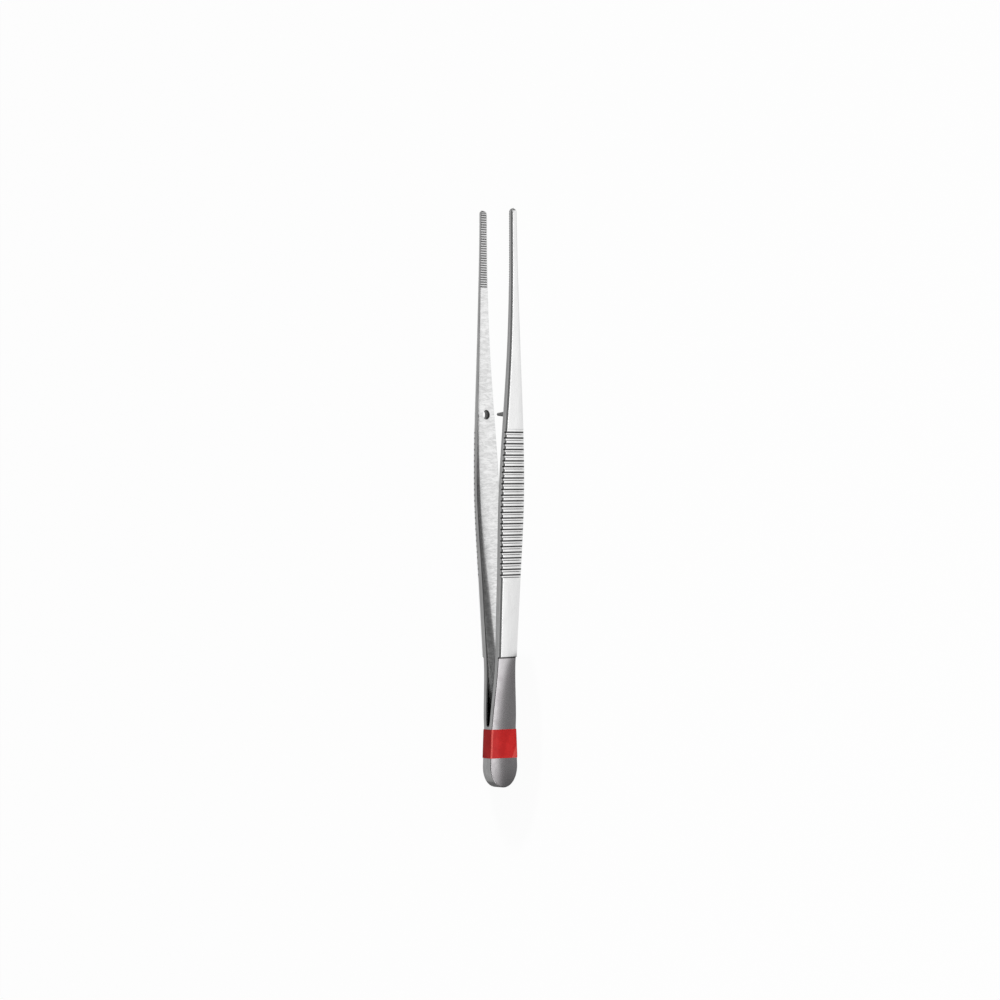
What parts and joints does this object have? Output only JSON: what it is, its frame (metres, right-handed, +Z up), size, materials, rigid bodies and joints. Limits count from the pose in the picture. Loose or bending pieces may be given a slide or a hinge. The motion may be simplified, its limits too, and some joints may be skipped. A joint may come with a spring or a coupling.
{
  "type": "thumb forceps",
  "caption": "Straight dissecting forceps with ridged grips, serrated jaws, a guide pin and a red marking band.",
  "frame": {"origin": "middle of the bounding box, on the surface that the forceps lie on", "axes": "+Y along the forceps towards the tips, +Z up across the width of the arms, X the way the arms open"},
  "size_m": [0.0128, 0.145, 0.0096],
  "materials": {
    "satin_steel": "satin",
    "pin_steel": "turned",
    "red_band": "gloss"
  },
  "bodies": {
    "root": {"arm_with_pin": "satin_steel", "arm_with_hole": "satin_steel", "guide_pin": "pin_steel", "colour_band": "red_band"}
  },
  "joints": []
}
